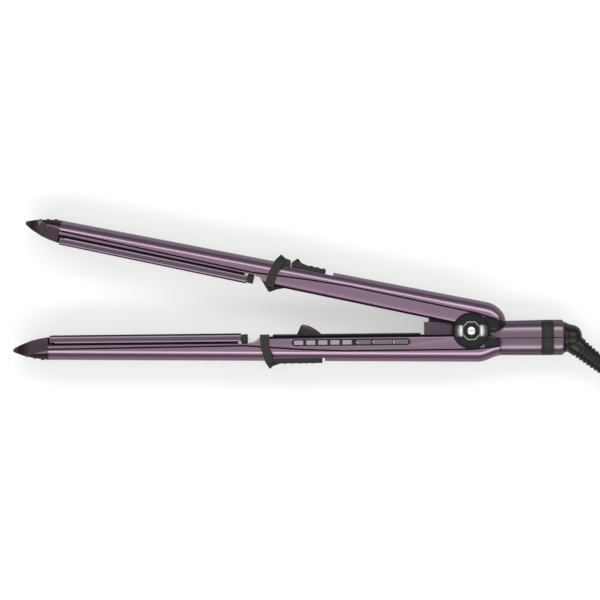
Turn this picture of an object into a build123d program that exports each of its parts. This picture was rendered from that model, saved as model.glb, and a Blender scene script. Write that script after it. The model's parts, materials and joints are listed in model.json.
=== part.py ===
from build123d import *
import os
from math import cos, pi, radians, sin, sqrt, tan

# A hair crimper with long plates, lying on its side, in millimetres.
# +X runs along the closing plane towards the cord, +Y towards the upper arm, +Z up along the hinge pin.
# The hinge axis stands at X = Y = 0, and the table is Z = 0.
#
# Both arms are drawn in the same arm coordinates: x along the arm (negative towards the tip), d the distance
# outwards from the closing plane, and w across the arm. arm_plane() turns these into the right place.

# ---------------------------------------------------------------- driving dimensions
MID_Z = 18.0  # height of the tool's middle plane
OPEN_ANGLE = 12.4  # degrees between the arms at rest
ARM_HALF = 16.5  # half the width of an arm
WALL = 2.0  # casing wall
SHOULDER = 8.0  # rounding along the back of an arm
GAP = 0.3  # room between pieces that move past each other
LOWER, UPPER = -1, 1

TIP_X = -280.3  # joint between casing and tip
INNER_D = 2.4  # inner face of the handle casing
INNER_EDGE = 1.8  # rounding along the inner edges of the handle
INLAY, INLAY_PROUD = 0.6, 1.2  # the upper inlay lies flush in a recess, the lower one stands proud
INLAY_HALF = 14.2
GROOVE_HALF, GROOVE_DEEP, GROOVE_FLOOR = 0.55, 0.5, 0.1  # V-groove where the two shells of an arm meet
FLOOR_D = INNER_D + WALL
BACK_D = 20.8  # back of an arm at the hinge
BACK_SLOPE = 0.0155
BEZEL_D = 7.0  # the casing's edge round the plate
PARTING = [(-290, 9.3), (-150, 8.3), (-133, 9.6), (-112, 11.2), (-84, 12.4), (0, 12.3), (30, 9.6)]
NOSE_C, NOSE_R = (8.3, 15.7), 14.0  # round underside of the upper arm's nose
NOSE_TOP = (21.5, 11.0)
REAR_X = 19.0  # where the lower arm meets the tail

PLATE_X = (-279.4, -152.7)  # crimping plate, 127 mm long
PLATE_HALF, PLATE_BULGE = 15.0, 0.45  # the plate's sides bulge by this much
PLATE_RIM = 0.9  # the flat rims of a plate stand this far from the closing plane
PLATE_BACK = 5.5
RIDGE_PITCH, RIDGE_RISE, RIDGE_COUNT = 3.0, 0.7, 8
SPRING_X = (-255.0, -178.0)

RING_HALF = MID_Z  # the finger guards reach the table
PAD_D = 17.0  # floor of the recess under the grip pad and the slider
PAD_X = (-133.6, -97.0)
SLIDER_X = (-125.4, -102.2)
SLIDER_TRAVEL = 4.7
PAD_HALF = 13.0

PIN_R, BUSH_R, RUNNING = 3.0, 4.5, 0.05
KNUCKLE_R, KNUCKLE_HALF = 7.6, 8.0
BARREL_END = 2.5  # the knuckle's barrel ends here, and the opening spring takes the rest
SPRING_R, SPRING_WIRE, SPRING_TURNS = 5.4, 0.6, 3
YOKE_HALF, YOKE_X, YOKE_Y = 12.5, -30.3, 6.0
INLAY_X = (-131.5, YOKE_X - 3)
CAP_R, CAP_IN = 12.2, 16.8  # hinge cap, and its inner face from the middle plane

TAIL_Y, TAIL_R, TAIL_R_REAR = -5.2, 11.4, 11.8
SPIGOT_R, TAIL_BORE = 8.9, 9.0
BAND_X, COLLAR_X, TAIL_END = 46.9, 55.0, 62.3
NECK_R = 7.0

SLEEVE_R, SLEEVE_LONG = 5.35, 50.0
SLEEVE_TURN = -40.0  # direction of the cord's sleeve in the XY plane
ELBOW_X = 67.0
RIB_PITCH = 2.9

PANEL_X, PANEL_D = (-119.0, -40.3), (4.3, 9.1)  # control panel on the side of the lower arm
LIGHTS = [-114.3, -106.3, -98.3, -90.3, -82.3]
BUTTONS = {"button_less": (-76.6, -66.4), "button_more": (-65.9, -52.4), "button_power": (-51.9, -41.7)}
BUTTON_D = (5.3, 8.1)
KEY_ARROW, KEY_FLOOR, KEY_HIGH = 1.6, 14.7, 2.2
WINDOW_LONG, WINDOW_HIGH = 6.0, 2.8
PANEL_DEEP = 0.9  # how deep the panel is let into the casing
SCREW_X = [-88.0, -66.0]
SCREW_R, SCREW_HEAD_R, SCREW_HEAD = 1.15, 2.4, 0.8

CORD_R = 3.5
COIL_C = (199.5, -48.5)
COIL_INNER, COIL_STEP, COIL_OUTER = 28.0, 49.0, 56.0
COIL_LOW, COIL_HIGH = 4 * CORD_R, 6 * CORD_R
TIE_ARC = 10.0
# the cord from its sleeve down to the table and the coil, and from the top of the coil to the plug
CORD_ROUTE = [
    (105.3, -37.35, 18.0),
    (117.0, -47.2, 17.6),
    (129.0, -57.2, 11.5),
    (141.5, -67.8, 4.0),
    (153.0, -78.0, 3.5),
]
PLUG_ROUTE = [
    (211.0, 5.5, 17.4),
    (202.0, 10.8, 15.2),
    (191.5, 16.8, 9.8),
    (181.0, 22.8, 8.0),
]
PLUG_TURN = 150.0  # direction that the plug points in the XY plane
PLUG_HALF = (12.5, 8.0)


# ---------------------------------------------------------------- shared shapes
def arm_plane(side, w=0.0):
    """Plane of an arm's coordinates (x, d), w above the middle plane."""
    origin = (0, 0, MID_Z + w)
    if side == LOWER:
        return Plane(origin=origin, x_dir=(1, 0, 0), z_dir=(0, 0, -1))
    turn = radians(-OPEN_ANGLE)
    return Plane(origin=origin, x_dir=(cos(turn), sin(turn), 0), z_dir=(0, 0, 1))


def across(side, x):
    """Plane across an arm at x: local X across the arm, local Y outwards, its normal towards the tip."""
    arm = arm_plane(side)
    return Plane(origin=arm.from_local_coords((x, 0, 0)), x_dir=arm.z_dir, z_dir=-arm.x_dir)


def outwards(side, x, d, w=0.0):
    """Plane at one point of an arm, its normal pointing outwards."""
    arm = arm_plane(side)
    return Plane(origin=arm.from_local_coords((x, d, w)), x_dir=arm.x_dir, z_dir=arm.y_dir)


def back(x):
    """Distance of the back of an arm from the closing plane."""
    return BACK_D + BACK_SLOPE * (x - 4)


def slab(plane, points, half, mode=Mode.ADD):
    """Extrude a closed outline to both sides of its plane."""
    with BuildSketch(plane) as outline:
        with BuildLine():
            Polyline(*points, close=True)
        make_face()
    extrude(outline.sketch, amount=half, both=True, mode=mode)


def block(side, x, d, half, mode=Mode.ADD):
    """A box between two values of x and of d, half as wide as stated."""
    corners = [(x[0], d[0]), (x[1], d[0]), (x[1], d[1]), (x[0], d[1])]
    slab(arm_plane(side), corners, half, mode)


def layer(x, y, z, mode=Mode.ADD):
    """A box between two values of X, Y and Z of the whole tool."""
    with BuildSketch(Plane.XY.offset(z[0])) as outline:
        with Locations(((x[0] + x[1]) / 2, (y[0] + y[1]) / 2)):
            Rectangle(x[1] - x[0], y[1] - y[0])
    extrude(outline.sketch, amount=z[1] - z[0], mode=mode)


def disc(plane, centre, radius, length, mode=Mode.ADD):
    """A cylinder from a plane along its normal."""
    with BuildSketch(plane) as outline:
        with Locations(centre):
            Circle(radius)
    extrude(outline.sketch, amount=length, mode=mode)


def bar(side, x, half, d, radius, mode=Mode.ADD):
    """A bar along the arm between two values of x, with its outer corners rounded."""
    with BuildSketch(across(side, x[1])) as face:
        with Locations((0, (d[0] + d[1]) / 2)):
            Rectangle(2 * half, d[1] - d[0])
        fillet(face.vertices().group_by(Axis.Y)[-1], radius)
    extrude(face.sketch, amount=x[1] - x[0], mode=mode)


def side_edges(part, side, half, low, high=40.0):
    """Edges that run along an arm at its sides, between two distances from the closing plane."""
    arm = arm_plane(side)
    found = []
    for edge in part.edges():
        a, b = arm.to_local_coords(edge @ 0), arm.to_local_coords(edge @ 1)
        along = abs(abs(a.Z) - half) < 0.01 and abs(a.Z - b.Z) < 0.01 and abs(a.X - b.X) > 1
        if along and low < min(a.Y, b.Y) and max(a.Y, b.Y) < high:
            found.append(edge)
    return found


# ---------------------------------------------------------------- casings
def arm_form(side):
    """The whole outside of one arm's casing as a plain solid."""
    start = NOSE_C[0] + sqrt(NOSE_R**2 - (NOSE_C[1] - INNER_D) ** 2)
    middle = (NOSE_C[0] + NOSE_R * cos(radians(-52)), NOSE_C[1] + NOSE_R * sin(radians(-52)))
    corner = (NOSE_C[0] + sqrt(NOSE_R**2 - (NOSE_C[1] - NOSE_TOP[1]) ** 2), NOSE_TOP[1])
    top = (4, back(4))
    with BuildPart() as form:
        with BuildSketch(arm_plane(side)):
            with BuildLine():
                front = [(TIP_X, back(TIP_X)), (TIP_X, BEZEL_D), (-147, BEZEL_D), (-147, 6.3)]
                waist = [(-144.7, 6.3), (-138.7, INNER_D)]
                if side == UPPER:
                    Polyline(top, *front, *waist, (start, INNER_D))
                    ThreePointArc((start, INNER_D), middle, corner)
                    Spline(corner, (19.2, 15.3), (13.4, 19.4), top, tangents=((-0.5, 1), (-1, -BACK_SLOPE)))
                else:
                    rear = [(11.8, INNER_D), (17.3, 6.0), (REAR_X, 6.3), (REAR_X, 16.8)]
                    Polyline(top, *front, *waist, *rear)
                    Spline((REAR_X, 16.8), (12.0, 19.1), top, tangents=((-1, 0.15), (-1, -BACK_SLOPE)))
            make_face()
        extrude(amount=ARM_HALF, both=True)
        low = 15 if side == LOWER else 10.5
        fillet(side_edges(form, side, ARM_HALF, low), SHOULDER)
        fillet(side_edges(form, side, ARM_HALF, INNER_D - 0.1, INNER_D + 0.1), INNER_EDGE)
    return form.part


def hollow(side):
    """The room inside one arm: over the plate, along the handle and into the nose."""
    if side == UPPER:
        nose = [(12, 4.6), (16, 6.9), (17.5, 9.5), (16.3, 13.0), (10.5, 16.6), (2, 18.4)]
    else:
        nose = [(9, FLOOR_D), (9, 17.2), (2, 18.4)]
    front = TIP_X + WALL
    handle = [(-136.5, FLOOR_D), *nose, (-136.5, back(-136.5) - WALL - 0.2)]
    over = [(front, BEZEL_D + 1), (-136.5, 8.0), (-136.5, back(-136.5) - WALL - 0.2)]
    half = ARM_HALF - WALL
    with BuildPart() as room:
        slab(arm_plane(side), handle, half)
        slab(arm_plane(side), [*over, (front, back(front) - WALL - 0.2)], half)
        fillet(side_edges(room, side, half, 14.5), SHOULDER - WALL)
    return room.part


def parting_strip(side, w, half):
    """Strip along an arm's parting line, w above its middle plane."""
    with BuildSketch(arm_plane(side, w)) as strip:
        with BuildLine():
            low = [(x, d - half) for x, d in PARTING]
            high = [(x, d + half) for x, d in PARTING]
            Polyline(*low, *reversed(high), close=True)
        make_face()
    return strip.sketch


def parting_groove(side):
    """V-shaped groove along both sides of an arm, where its shells meet."""
    with BuildPart() as groove:
        for way in (1, -1):
            outer = parting_strip(side, way * (ARM_HALF + GROOVE_DEEP), 2 * GROOVE_HALF)
            inner = parting_strip(side, way * (ARM_HALF - GROOVE_DEEP), GROOVE_FLOOR)
            loft([outer, inner], ruled=True)
    return groove.part


def above_parting():
    return [*PARTING, (30, 40), (-290, 40)]


def below_parting():
    return [*PARTING, (30, -20), (-290, -20)]


def screw_seat(side):
    """Distance from the closing plane to the floor that the screw heads start from."""
    return INNER_D + INLAY if side == UPPER else INNER_D


def outer_shell(side, name):
    """Back half of an arm's casing, with a recess for the pad or the slider."""
    arm = arm_plane(side)
    with BuildPart() as shell:
        add(arm_form(side))
        slab(arm, above_parting(), 40, Mode.INTERSECT)
        add(parting_groove(side), mode=Mode.SUBTRACT)
        add(hollow(side), mode=Mode.SUBTRACT)
        block(side, PAD_X, (PAD_D, 30), 30, Mode.SUBTRACT)
        for x in SCREW_X:
            disc(outwards(side, x, FLOOR_D + 0.1), (0, 0), 3.2, 13.0)
            disc(outwards(side, x, FLOOR_D), (0, 0), SCREW_R + 0.05, 9.0, Mode.SUBTRACT)
        if side == UPPER:
            slot = (SLIDER_X[0] + 1.2, SLIDER_X[0] + 7.4 + SLIDER_TRAVEL)
            block(side, slot, (10, 30), 3.2, Mode.SUBTRACT)
        else:
            disc(Plane.YZ.offset(7), (TAIL_Y, MID_Z), TAIL_BORE, REAR_X - 6, Mode.SUBTRACT)
    shell.part.label = name
    return shell


def inner_shell(side, name):
    """Front half of an arm's casing: the frame round the plate, the waist and the handle's floor."""
    arm = arm_plane(side)
    with BuildPart() as shell:
        add(arm_form(side))
        slab(arm, below_parting(), 40, Mode.INTERSECT)
        add(parting_groove(side), mode=Mode.SUBTRACT)
        add(hollow(side), mode=Mode.SUBTRACT)
        block(side, (TIP_X + WALL, PLATE_X[1] - 0.6), (0, 12), 14.3, Mode.SUBTRACT)
        block(side, (YOKE_X - 2.5, 12.2), (0, 5.2), 13.2, Mode.SUBTRACT)
        disc(arm.offset(-30), (0, 0), 5.0, 60, Mode.SUBTRACT)
        for x in SCREW_X:
            seat = outwards(side, x, screw_seat(side))
            disc(seat, (0, 0), SCREW_HEAD_R + 0.2, SCREW_HEAD + 0.1, Mode.SUBTRACT)
            disc(seat, (0, 0), SCREW_R + 0.2, 5.0, Mode.SUBTRACT)
        if side == UPPER:
            block(side, INLAY_X, (0, INNER_D + INLAY), INLAY_HALF, Mode.SUBTRACT)
            block(side, (-124.0, -96.0), (0, 6), 5.8, Mode.SUBTRACT)
        else:
            block(side, (-139.7, -126.3), (-3, FLOOR_D + 0.2), 7.0, Mode.SUBTRACT)
            disc(Plane.YZ.offset(7), (TAIL_Y, MID_Z), TAIL_BORE, REAR_X - 6, Mode.SUBTRACT)
            with BuildSketch(Plane.XY.offset(MID_Z + ARM_HALF - PANEL_DEEP)):
                panel_outline()
            extrude(amount=2, mode=Mode.SUBTRACT)
            with BuildSketch(Plane.XY.offset(MID_Z + 10)):
                key_opening(0.9)
            extrude(amount=8, mode=Mode.SUBTRACT)
    shell.part.label = name
    return shell


def panel_outline():
    middle = ((PANEL_X[0] + PANEL_X[1]) / 2, -(PANEL_D[0] + PANEL_D[1]) / 2)
    high = PANEL_D[1] - PANEL_D[0]
    with Locations(middle):
        RectangleRounded(PANEL_X[1] - PANEL_X[0], high, high / 2 - 0.05)


def key_opening(room, mode=Mode.ADD):
    """Opening round all three keys, wider and higher than they are by the room stated."""
    low, high = BUTTONS["button_less"][0], BUTTONS["button_power"][1]
    with Locations(((low + high) / 2, -(BUTTON_D[0] + BUTTON_D[1]) / 2)):
        Rectangle(high - low + room, BUTTON_D[1] - BUTTON_D[0] + room, mode=mode)


def window_places():
    return [(x, -(BUTTON_D[0] + BUTTON_D[1]) / 2) for x in LIGHTS]


def inlay(side, name):
    """Black strip on the inner face of a handle."""
    layers = (INNER_D, INNER_D + INLAY) if side == UPPER else (INNER_D - INLAY_PROUD, INNER_D)
    with BuildPart() as strip:
        block(side, INLAY_X, layers, INLAY_HALF)
        if side == UPPER:
            block(side, (-124.0, -96.0), (0, 6), 5.8, Mode.SUBTRACT)
            block(side, (-132.0, -126.5), (0, 6), 7.0, Mode.SUBTRACT)
        else:
            block(side, (-116.5, -97.3), (0, 6), 5.2, Mode.SUBTRACT)
            block(side, (-132.0, -126.3), (0, 6), 7.0, Mode.SUBTRACT)
    strip.part.label = name
    return strip


def tip(side, name):
    """Pointed tip with three ribs on its back, narrowing towards the point."""
    arm = arm_plane(side)
    with BuildPart() as nose:
        with BuildSketch(arm):
            with BuildLine():
                under = [(-286.3, 2.1), (-291.3, 3.3), (-299, 6.3), (-303.6, 8.6)]
                over = [(-303.0, 11.2), (-296.5, 13.4), (-288.0, 15.2)]
                Polyline((TIP_X, back(TIP_X)), (TIP_X, 1.2), *under)
                ThreePointArc(under[-1], (-304.3, 9.8), over[0])
                Polyline(*over, (TIP_X, back(TIP_X)))
            make_face()
        extrude(amount=ARM_HALF, both=True)
        bar(side, (-320, TIP_X), ARM_HALF, (-5, back(TIP_X)), SHOULDER, Mode.INTERSECT)
        with BuildSketch(outwards(side, TIP_X, -5)):
            with BuildLine():
                Spline((0, ARM_HALF), (-14, 14.2), (-24.6, 0), tangents=((-1, 0), (0, -1)))
                Spline((-24.6, 0), (-14, -14.2), (0, -ARM_HALF), tangents=((0, -1), (1, 0)))
                Line((0, -ARM_HALF), (0, ARM_HALF))
            make_face()
        extrude(amount=40, mode=Mode.INTERSECT)
        for x, d, half in ((-295.0, 13.5, 6.0), (-289.9, 14.6, 7.0), (-284.7, 15.6, 8.0)):
            with BuildSketch(arm.offset(-half)):
                with Locations((x, d)):
                    Circle(0.95)
            extrude(amount=2 * half)
    nose.part.label = name
    return nose


# ---------------------------------------------------------------- finger guards, slider, latch
def guard_ring(side):
    """Band that wraps an arm, leaning back to a horn."""
    lean = [
        (-140.0, 1.3), (-134.0, 1.3), (-133.6, 9.0), (-131.6, 17.2),
        (-131.6, 22.0), (-133.5, 24.0), (-136.5, 19.5), (-139.3, 10.0),
    ]
    slab(arm_plane(side), lean, RING_HALF)
    bar(side, (-145, -120), RING_HALF, (-5, 24.2), 9.0, Mode.INTERSECT)


def lower_guard():
    with BuildPart() as guard:
        guard_ring(LOWER)
        add(arm_form(LOWER), mode=Mode.SUBTRACT)
        bar(LOWER, (-131.7, -98.6), PAD_HALF, (PAD_D, 20.4), 2.8)
        slab(arm_plane(LOWER), [(-133.5, PAD_D), (-131.6, PAD_D), (-131.6, 22.2), (-133.5, 23.9)], PAD_HALF)
        web = [(-131.7, 20.0), (-131.7, 22.2), (-128.0, 20.9), (-126.0, 20.3)]
        slab(arm_plane(LOWER), web, PAD_HALF - 2.8)
        for x in (-123.5, -118.4, -113.5, -109.3, -104.6):
            with BuildSketch(arm_plane(LOWER).offset(2.8 - PAD_HALF)):
                with Locations((x, 19.9)):
                    Circle(0.9)
            extrude(amount=2 * (PAD_HALF - 2.8))
        block(LOWER, (-141, -126.3), (0, 4.6), 7.0, Mode.SUBTRACT)
    guard.part.label = "lower_finger_guard"
    return guard


def upper_guard():
    with BuildPart() as guard:
        guard_ring(UPPER)
        add(arm_form(UPPER), mode=Mode.SUBTRACT)
        tail = [
            (-133.5, PAD_D), (-125.9, PAD_D), (-125.9, 19.6),
            (-126.6, 21.4), (-130.0, 21.9), (-133.5, 23.9),
        ]
        slab(arm_plane(UPPER), tail, PAD_HALF)
        block(UPPER, (-146, -126.5), (-3, 6.6), 6.2, Mode.SUBTRACT)
    guard.part.label = "upper_finger_guard"
    return guard


def alignment_tooth():
    """Tooth under the upper guard that enters the lower arm when the plates close."""
    edge = [(-144.6, 6.2), (-143.6, 5.4), (-136.9, -2.0), (-135.8, -2.1), (-131.5, 0.6), (-126.8, INNER_D)]
    with BuildPart() as tooth:
        slab(arm_plane(UPPER), [*edge, (-138.7, INNER_D)], 6.0)
    tooth.part.label = "alignment_tooth"
    return tooth


def latch_hook():
    """Fin on the lower arm with a pocket that the slider's bolt enters."""
    with BuildPart() as hook:
        with BuildSketch(arm_plane(LOWER)):
            with BuildLine():
                Polyline((-97.8, INNER_D), (-115.9, INNER_D), (-112.7, -4.6), (-111.6, -5.2))
                Spline((-111.6, -5.2), (-104.5, -2.9), (-97.8, INNER_D), tangents=((1, 0.05), (0.75, 0.75)))
            make_face()
        extrude(amount=5.0, both=True)
        block(LOWER, (-118, -108.8), (-3.9, -1.8), 3.2, Mode.SUBTRACT)
    hook.part.label = "latch_hook"
    return hook


def lock_slider():
    profile = [
        (SLIDER_X[0], PAD_D + 0.1), (SLIDER_X[0], 20.2), (-122.6, 23.2), (-121.4, 23.2), (-119.4, 21.2),
        (-115.5, 20.3), (SLIDER_X[1], 20.0), (SLIDER_X[1], PAD_D + 0.1),
    ]
    with BuildPart() as slider:
        slab(arm_plane(UPPER), profile, PAD_HALF - 0.4)
        for x in (-112.0, -108.0, -103.8):
            with BuildSketch(arm_plane(UPPER).offset(2.0 - PAD_HALF)):
                with Locations((x, 19.9)):
                    Circle(0.8)
            extrude(amount=2 * (PAD_HALF - 2.0))
        chamfer(side_edges(slider, UPPER, PAD_HALF - 0.4, 19.0), 1.0)
    slider.part.label = "lock_slider"
    return slider


def lock_bolt():
    """Stem and tongue under the slider; the tongue enters the hook's pocket."""
    front, rear = SLIDER_X[0] + 1.8, SLIDER_X[0] + 7.0
    with BuildPart() as bolt:
        block(UPPER, (front, rear), (4.1, PAD_D + 0.1), 2.6)
        block(UPPER, (front, -114.7), (2.75, 4.1), 2.6)
    bolt.part.label = "lock_bolt"
    return bolt


# ---------------------------------------------------------------- plates
def plate(side, name):
    """Crimping plate: zigzag ridges along the arm between flat rims, with a channel for the heater."""
    ridge_half = RIDGE_PITCH * RIDGE_COUNT / 2
    rim, middle = PLATE_HALF - PLATE_BULGE, (PLATE_RIM + PLATE_BACK) / 2
    turned = -1 if side == LOWER else 1
    ridges = [(turned * ridge_half, PLATE_RIM)]
    for k in range(RIDGE_COUNT):
        right = ridge_half - k * RIDGE_PITCH
        ridges.append((turned * (right - RIDGE_PITCH / 4), PLATE_RIM + side * RIDGE_RISE))
        ridges.append((turned * (right - 3 * RIDGE_PITCH / 4), PLATE_RIM - side * RIDGE_RISE))
    ridges.append((-turned * ridge_half, PLATE_RIM))
    first, last = turned * rim, -turned * rim
    channel = [(9.0, PLATE_BACK), (9.0, 2.8), (-9.0, 2.8), (-9.0, PLATE_BACK)]
    with BuildPart() as crimp:
        with BuildSketch(across(side, PLATE_X[1])):
            with BuildLine():
                Polyline((first, PLATE_RIM), *ridges, (last, PLATE_RIM))
                ThreePointArc((last, PLATE_RIM), (-turned * PLATE_HALF, middle), (last, PLATE_BACK))
                Line((last, PLATE_BACK), (first, PLATE_BACK))
                ThreePointArc((first, PLATE_BACK), (turned * PLATE_HALF, middle), (first, PLATE_RIM))
            make_face()
        extrude(amount=PLATE_X[1] - PLATE_X[0])
        with BuildSketch(across(side, PLATE_X[1] - 3)):
            with BuildLine():
                Polyline(*channel, close=True)
            make_face()
        extrude(amount=PLATE_X[1] - PLATE_X[0] - 6, mode=Mode.SUBTRACT)
    crimp.part.label = name
    return crimp


def simple(side, name, x, d, half):
    """A rectangular piece inside an arm."""
    with BuildPart() as piece:
        block(side, x, d, half)
    piece.part.label = name
    return piece


def carrier(side, name):
    """Heat-resistant tray fixed in the casing, with a pocket for the floating plate's cradle."""
    with BuildPart() as tray:
        block(side, (TIP_X + WALL + 0.1, PLATE_X[1] - 0.7), (BEZEL_D, 11.4), 14.2)
        chamfer(side_edges(tray, side, 14.2, 11), 1.6)
        block(side, (PLATE_X[0] + 1.8, PLATE_X[1] - 1.8), (0, 10.6), 12.4, Mode.SUBTRACT)
    tray.part.label = name
    return tray


def springs(side, name):
    """Two coil springs between a cradle and its tray, as plain rings."""
    with BuildPart() as pair:
        for x in SPRING_X:
            plane = outwards(side, x, 8.1)
            disc(plane, (0, 0), 3.0, 2.4)
            disc(plane, (0, 0), 2.0, 2.4, Mode.SUBTRACT)
    pair.part.label = name
    return pair


# ---------------------------------------------------------------- hinge
def seat_cylinder(radius, mode):
    """Round room for the upper arm's nose when the tool is open."""
    centre = arm_plane(UPPER).from_local_coords((*NOSE_C, 0))
    with BuildSketch(Plane.XY.offset(-20)) as outline:
        with Locations((centre.X, centre.Y)):
            Circle(radius)
    extrude(outline.sketch, amount=80, mode=mode)


def hinge_yoke():
    """Metal yoke: two cheeks for the pin, a front wall, a base in the lower arm and a spigot in the tail."""
    cheek = [
        (YOKE_X, YOKE_Y), (YOKE_X, -13.0), (9.0, -13.0), (9.0, -5.0),
        (KNUCKLE_R - 1.5, 0), (-9.0, 0), (-9.0, YOKE_Y),
    ]
    with BuildPart() as yoke:
        slab(Plane.XY.offset(MID_Z), cheek, YOKE_HALF)
        disc(Plane.XY.offset(MID_Z - YOKE_HALF), (0, 0), KNUCKLE_R, 2 * YOKE_HALF)
        room = KNUCKLE_HALF + GAP
        layer((YOKE_X + 3, 12), (-10.5, 20), (MID_Z - room, MID_Z + room), Mode.SUBTRACT)
        layer((-37, YOKE_X + 1), (-13.0, -10.5), (MID_Z - YOKE_HALF, MID_Z + YOKE_HALF))
        disc(Plane.YZ.offset(8.9), (TAIL_Y, MID_Z), SPIGOT_R, BAND_X - 10)
        seat_cylinder(NOSE_R + 3.0, Mode.SUBTRACT)
        disc(Plane.XY.offset(MID_Z - room), (0, 0), KNUCKLE_R + GAP + 0.2, 2 * room, Mode.SUBTRACT)
        disc(Plane.XY, (0, 0), PIN_R, 40, Mode.SUBTRACT)
        disc(Plane.YZ.offset(14), (TAIL_Y, MID_Z), 5.0, 40, Mode.SUBTRACT)
    yoke.part.label = "hinge_yoke"
    return yoke


def hinge_skirt():
    with BuildPart() as skirt:
        layer((YOKE_X + 3, -12.8), (YOKE_Y, 8.3), (MID_Z - 11.5, MID_Z + 11.5))
    skirt.part.label = "hinge_skirt"
    return skirt


def hinge_knuckle():
    """Upper arm's hinge barrel, with its web, the plate that carries it and a round pocket for the spring."""
    with BuildPart() as knuckle:
        disc(arm_plane(UPPER).offset(-KNUCKLE_HALF), (0, 0), KNUCKLE_R, KNUCKLE_HALF + BARREL_END)
        block(UPPER, (-7.0, 7.0), (0, 15.5), KNUCKLE_HALF)
        disc(arm_plane(UPPER).offset(BARREL_END), (0, 0), KNUCKLE_R, 20, Mode.SUBTRACT)
        block(UPPER, (-60, 7), (15.0, 17.2), 9.0)
        disc(arm_plane(UPPER).offset(-30), (0, 0), BUSH_R, 60, Mode.SUBTRACT)
    knuckle.part.label = "hinge_knuckle"
    return knuckle


def hinge_bushes():
    long = (KNUCKLE_HALF + BARREL_END) / 2 - 0.5
    with BuildPart() as bushes:
        for low in (-KNUCKLE_HALF, BARREL_END - long):
            disc(arm_plane(UPPER).offset(low), (0, 0), BUSH_R, long)
        disc(arm_plane(UPPER).offset(-30), (0, 0), PIN_R + RUNNING, 60, Mode.SUBTRACT)
    bushes.part.label = "hinge_bushes"
    return bushes


def pivot_pin():
    with BuildPart() as pin:
        disc(Plane.XY.offset(MID_Z - CAP_IN), (0, 0), PIN_R, 2 * CAP_IN)
    pin.part.label = "pivot_pin"
    return pin


def cap_plane(up, height):
    """Plane of a hinge cap, its normal pointing away from the tool."""
    if up:
        return Plane(origin=(0, 0, MID_Z + height), z_dir=(0, 0, 1))
    return Plane(origin=(0, 0, MID_Z - height), x_dir=(1, 0, 0), z_dir=(0, 0, -1))


def hinge_cap(up, name):
    with BuildPart() as cap:
        disc(cap_plane(up, CAP_IN), (0, 0), CAP_R, MID_Z - CAP_IN)
        disc(cap_plane(up, MID_Z - 0.5), (0, 0), CAP_R - 1.3, 1, Mode.SUBTRACT)
    cap.part.label = name
    return cap


def cap_bezel(up, name):
    """Octagonal bezel with a bar to each side."""
    with BuildPart() as bezel:
        with BuildSketch(cap_plane(up, MID_Z - 0.5)):
            Rectangle(2 * CAP_R - 3.0, 7.4)
            Circle(CAP_R - 1.4, mode=Mode.INTERSECT)
            RegularPolygon(6.2, 8, major_radius=False)
            RegularPolygon(4.9, 8, major_radius=False, mode=Mode.SUBTRACT)
        extrude(amount=0.4)
    bezel.part.label = name
    return bezel


def medallion(up, name):
    with BuildPart() as coin:
        disc(cap_plane(up, MID_Z - 0.5), (0, 0), 2.7, 0.5)
    coin.part.label = name
    return coin


def opening_spring():
    """Torsion spring round the pin that pushes the arms apart, one leg on the yoke and one on the knuckle."""
    low = MID_Z + BARREL_END + 2 * SPRING_WIRE
    pitch = 2 * SPRING_WIRE + 0.15
    high = low + pitch * SPRING_TURNS
    with BuildPart() as spring:
        with BuildLine() as turns:
            Helix(pitch, high - low, SPRING_R, center=(0, 0, low))
        with BuildSketch(Plane(origin=(SPRING_R, 0, low), z_dir=(0, 1, pitch / (2 * pi * SPRING_R)))):
            Circle(SPRING_WIRE)
        sweep(path=turns.wires()[0], is_frenet=True)
        for z, way, leg in ((low, -1, 9.4), (high, 1, 4.2)):
            disc(Plane(origin=(SPRING_R, 0, z), z_dir=(-0.12, way, 0)), (0, 0), SPRING_WIRE, leg)
    spring.part.label = "opening_spring"
    return spring


# ---------------------------------------------------------------- tail
def tail_solid(low, high, x):
    """Part of the tail's slightly growing round body between two values of X."""
    grow = (TAIL_R_REAR - TAIL_R) / (BAND_X - REAR_X)
    ends = [min(TAIL_R_REAR, TAIL_R + grow * (v - REAR_X)) for v in x]
    with BuildSketch(Plane.XY.offset(MID_Z)) as outline:
        with BuildLine():
            middle = [(x[0], TAIL_Y), (x[1], TAIL_Y)]
            Polyline(*middle, (x[1], TAIL_Y + ends[1]), (x[0], TAIL_Y + ends[0]), close=True)
        make_face()
    revolve(outline.sketch, axis=Axis((0, TAIL_Y, MID_Z), (1, 0, 0)))
    layer((0, 80), (TAIL_Y + low, TAIL_Y + high), (0, 40), Mode.INTERSECT)


def tail_top():
    """Upper half of the tail, with the seat that the upper arm's nose rests against."""
    below = [(11.3, -1.9), (17.3, -5.85), (17.3, -30), (-10, -30), (-10, -1.9)]
    with BuildPart() as lining:
        disc(Plane.YZ.offset(8), (TAIL_Y, MID_Z), TAIL_BORE, 60)
        seat_cylinder(NOSE_R + 2.6, Mode.SUBTRACT)
    with BuildPart() as tail:
        tail_solid(0, 20, (11.3, BAND_X))
        slab(Plane.XY.offset(MID_Z), below, 30, Mode.SUBTRACT)
        add(lining.part, mode=Mode.SUBTRACT)
        seat_cylinder(NOSE_R + 0.4, Mode.SUBTRACT)
    tail.part.label = "tail_top"
    return tail


def tail_bottom():
    with BuildPart() as tail:
        tail_solid(-20, 0, (REAR_X, BAND_X))
        disc(Plane.YZ.offset(8), (TAIL_Y, MID_Z), TAIL_BORE, 60, Mode.SUBTRACT)
    tail.part.label = "tail_bottom"
    return tail


def tail_ring(name, x, bore, edge=0.0):
    with BuildPart() as ring:
        disc(Plane.YZ.offset(x[0]), (TAIL_Y, MID_Z), TAIL_R_REAR, x[1] - x[0])
        if edge:
            chamfer(ring.edges().filter_by(GeomType.CIRCLE).group_by(Axis.X)[-1], edge)
        disc(Plane.YZ.offset(0), (TAIL_Y, MID_Z), bore, 80, Mode.SUBTRACT)
    ring.part.label = name
    return ring


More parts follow.
